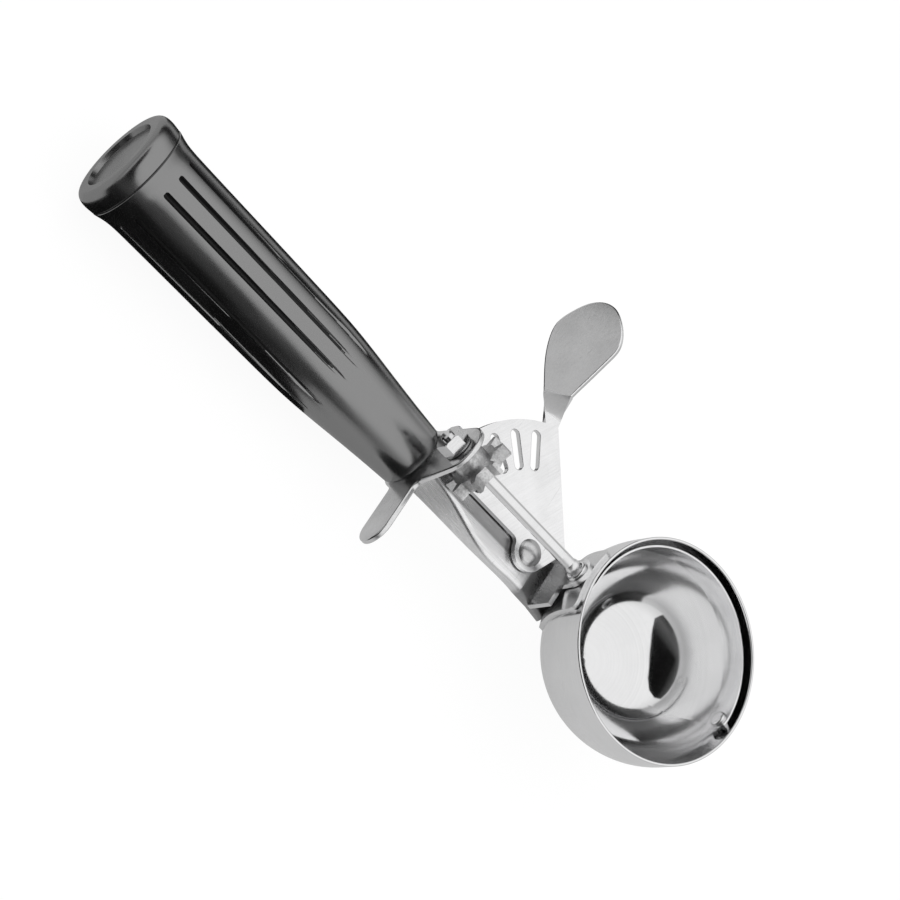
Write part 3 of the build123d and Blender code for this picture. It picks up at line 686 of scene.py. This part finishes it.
def plastic(name, rough, ior=2.2, gloss=1.0):
    """Black moulded plastic; constants that don't vary sit on the shader itself."""
    material, tree, shader = principled(name, IOR=ior, Specular_IOR_Level=gloss)
    place = node_of(tree, "TexCoord")
    finish = use_group(tree, moulding, Roughness=rough)
    relief = node_of(tree, "Bump", Strength=0.05, Distance=RELIEF)
    wire(
        tree,
        (place, "Object", finish, "Place"),
        (finish, "Color", shader, "Base Color"),
        (finish, "Roughness", shader, "Roughness"),
        (finish, "Height", relief, "Height"),
        (relief, "Normal", shader, "Normal"),
    )
    return material


grip_mesh.materials.append(plastic("black plastic, grip", 0.20))
grip_mesh.materials.append(plastic("black plastic, flute bottoms", 0.55, 1.45, 0.5))
black_cap = plastic("black plastic, end cap", 0.22)
dress(black_cap, "handle_end_cap")


# Scraper shaft. Ground round rod of stainless steel, the brightest piece, with
# faint rings from the grinding wheel and a satin bead rolled up at the sleeve.
BEAD_FROM = -0.0385
BEAD_FADE = 0.0004
GROUND_ROUGH = 0.08
BEAD_ROUGH = 0.34
ground = steel("ground rod", 0.91, GROUND_ROUGH, (3600, 3600, 3600), lines=0.05, smudges=0.03,
               scratches=0.05, depth=0.01, turned=True, turn=LAID_ALONG_X)
tree, shader, finish, part = open_steel(ground)
satin = node_of(tree, "MapRange", From_Min=BEAD_FROM, From_Max=BEAD_FROM + BEAD_FADE,
                To_Min=GROUND_ROUGH, To_Max=BEAD_ROUGH)
wire(tree, (part, "X", satin, "Value"), (satin, "Result", finish, "Roughness"))
dress(ground, "scraper_shaft")


# Nut and washer. A nickel plated hexagon nut on the threaded end holds the shaft
# to the guard plate, over a plain zinc plated washer.
nickel = steel("nickel plate", 0.88, 0.12, (2600, 2600, 2600), smudges=0.08, depth=0.02,
               turned=True, turn=LAID_ALONG_X)
dress(nickel, "shaft_nut")
zinc = steel("zinc plate", 0.62, 0.30, (2600, 2600, 2600), lines=0.1, smudges=0.25, depth=0.05,
             turned=True, turn=LAID_ALONG_X)
dress(zinc, "nut_washer")


# Pinion. Pressed from steel powder and fixed on the shaft, so it is duller and
# more mottled than the sheet round it.
sintered = steel("sintered steel", 0.80, 0.25, (1500, 1500, 1500), lines=0.30, smudges=0.30,
                 scratches=0.10, depth=0.15)
dress(sintered, "pinion")


# Scraper blade. Stainless spring strip bent to the bowl's wall, fixed to the
# shaft at one end and riveted at the other, and polished by the ice cream.
strip = steel("spring strip", 0.88, 0.11, (300, 300, 3000), lines=0.08, smudges=0.05, depth=0.02)
dress(strip, "scraper_blade")


# Rivets. The blade's small round-headed rivet and the domed one that the lever
# turns on, both steel and set cold, with faint rings from the snap tool.
small_rivet = steel("set rivet", 0.86, 0.15, (4200, 4200, 4200), lines=0.08, turned=True,
                    turn=LAID_ALONG_X)
dress(small_rivet, "blade_tip_rivet")
PIVOT_X = -0.0425
PIVOT_Y = -0.0018
TO_PIVOT = (-PIVOT_X, -PIVOT_Y, 0)
domed_rivet = steel("domed rivet", 0.78, 0.20, (3200, 3200, 3200), lines=0.12, smudges=0.15,
                    depth=0.04, turned=True, centre=TO_PIVOT)
dress(domed_rivet, "lever_rivet")


# Lever. Blanked from polished stainless sheet with its slots, the paddle twisted
# up at its end. Its grain runs across the plate, at a slant to the shank's, and the
# jaws that twisted the neck have left it satin.
BLANK_ROUGH = 0.13
NECK_FROM = 0.0312
NECK_TO = 0.0372
NECK_FADE = 0.0015
NECK_TONE = 0.70
NECK_ROUGH = 0.50
NECK_METAL = 0.25
blanked = steel("polished blank", 0.95, BLANK_ROUGH, (1900, 90, 1900), lines=0.06,
                smudges=0.07, scratches=0.08, depth=0.02, turn=(0, 0, math.radians(24)))
tree, shader, finish, part = open_steel(blanked)
after_plate = node_of(tree, "MapRange", From_Min=NECK_FROM, From_Max=NECK_FROM + NECK_FADE)
before_paddle = node_of(tree, "MapRange", From_Min=NECK_TO, From_Max=NECK_TO - NECK_FADE)
neck = node_of(tree, "Math", operation="MULTIPLY")
satin = node_of(tree, "MapRange", To_Min=1.0, To_Max=NECK_METAL)
dull = node_of(tree, "MapRange", To_Min=BLANK_ROUGH, To_Max=NECK_ROUGH)
neck_tone = node_of(tree, "MapRange", To_Min=1.0, To_Max=NECK_TONE)
toned = node_of(tree, "VectorMath", operation="SCALE")
wire(
    tree,
    (part, "Y", after_plate, "Value"),
    (part, "Y", before_paddle, "Value"),
    (after_plate, "Result", neck, 0),
    (before_paddle, "Result", neck, 1),
    (neck, "Value", satin, "Value"),
    (neck, "Value", dull, "Value"),
    (neck, "Value", neck_tone, "Value"),
    (finish, "Color", toned, 0),
    (neck_tone, "Result", toned, "Scale"),
    (toned, "Vector", shader, "Base Color"),
    (satin, "Result", shader, "Metallic"),
    (dull, "Result", finish, "Roughness"),
)
dress(blanked, "sector_lever")


# Spacer. Plain steel washer on the rivet between the shank's web and the lever,
# punched and left as it comes.
plain = steel("plain washer", 0.55, 0.35, (2400, 2400, 2400), lines=0.15, smudges=0.3,
              depth=0.05, turned=True, centre=TO_PIVOT)
dress(plain, "lever_spacer")


# Return spring. Drawn music wire coiled round the rivet under the web, one end
# against the shank. The other end stands in a hole in the lever, and the coil
# winds up as the lever turns.
WIRE_R = 0.45
COIL_R = 3.0
COIL_LOW = -13.6
COIL_HIGH = -11.35
COIL_TURNS = 2.25
LEG_TURN = 118.0
LEG_REACH = 7.0
LEG_TOP = -7.45
STAY = 6.2
CORNER = 0.9
STAY_STEPS = 4
COIL_STEPS = 90
CORNER_STEPS = 6
ROUND_WIRE = 12


def round_pivot(radius, turn, height):
    """Point in millimetres about the rivet's axis."""
    angle = math.radians(turn)
    return Vector((radius * math.cos(angle), radius * math.sin(angle), height))


def corner(first, middle, last):
    """Points of a rounded corner, without its last point."""
    return [first * (1 - t)**2 + middle * 2 * t * (1 - t) + last * t**2
            for t in [i / CORNER_STEPS for i in range(CORNER_STEPS)]]


coil_start = LEG_TURN - 360 * COIL_TURNS
coil_end = LEG_TURN - math.degrees(CORNER / COIL_R)
slope = (COIL_HIGH - COIL_LOW) / COIL_TURNS / (2 * math.pi * COIL_R)
stay_way = round_pivot(1, coil_start - 90, -slope)
coil_foot = round_pivot(COIL_R, coil_start, COIL_LOW)
wire_path = [coil_foot + stay_way * STAY * (1 - i / STAY_STEPS) for i in range(STAY_STEPS)]
for i in range(COIL_STEPS):
    turn = coil_start + (coil_end - coil_start) * i / COIL_STEPS
    rise = COIL_LOW + (COIL_HIGH - COIL_LOW) * (turn - coil_start) / (LEG_TURN - coil_start)
    wire_path.append(round_pivot(COIL_R, turn, rise))
wire_path += corner(
    round_pivot(COIL_R, coil_end, COIL_HIGH),
    round_pivot(COIL_R, LEG_TURN, COIL_HIGH),
    round_pivot(COIL_R + CORNER, LEG_TURN, COIL_HIGH),
)
wire_path += corner(
    round_pivot(LEG_REACH - CORNER, LEG_TURN, COIL_HIGH),
    round_pivot(LEG_REACH, LEG_TURN, COIL_HIGH),
    round_pivot(LEG_REACH, LEG_TURN, COIL_HIGH + CORNER),
)
wire_path.append(round_pivot(LEG_REACH, LEG_TURN, COIL_HIGH + CORNER))
wire_path.append(round_pivot(LEG_REACH, LEG_TURN, LEG_TOP))
rings = [(wire_path[0], 0.0)] + [(point, WIRE_R) for point in wire_path] + [(wire_path[-1], 0.0)]
bm = bmesh.new()
bmesh.ops.create_grid(bm, x_segments=ROUND_WIRE, y_segments=len(rings) - 1, size=1)
bm.verts.ensure_lookup_table()
spring_centre = Vector((PIVOT_X, PIVOT_Y, 0))
side = Vector((0, 0, 1))
for row, (point, radius) in enumerate(rings):
    before = rings[max(row - 1, 1)][0]
    after = rings[min(row + 1, len(rings) - 2)][0]
    along = (after - before).normalized()
    side = (side - along * side.dot(along)).normalized()
    over = along.cross(side)
    for column in range(ROUND_WIRE + 1):
        angle = 2 * math.pi * column / ROUND_WIRE
        spot = point + (side * math.cos(angle) + over * math.sin(angle)) * radius
        bm.verts[row * (ROUND_WIRE + 1) + column].co = spring_centre + spot / 1000
spring_mesh = closed_mesh(bm, "wound_spring")
drawn = steel("drawn wire", 0.45, 0.28, (1200, 1200, 1200), lines=0.15, smudges=0.2)
spring_mesh.materials.append(drawn)
spring = bpy.data.objects.new("wound_spring", spring_mesh)
scene.collection.objects.link(spring)
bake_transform(spring)
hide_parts("return_spring")
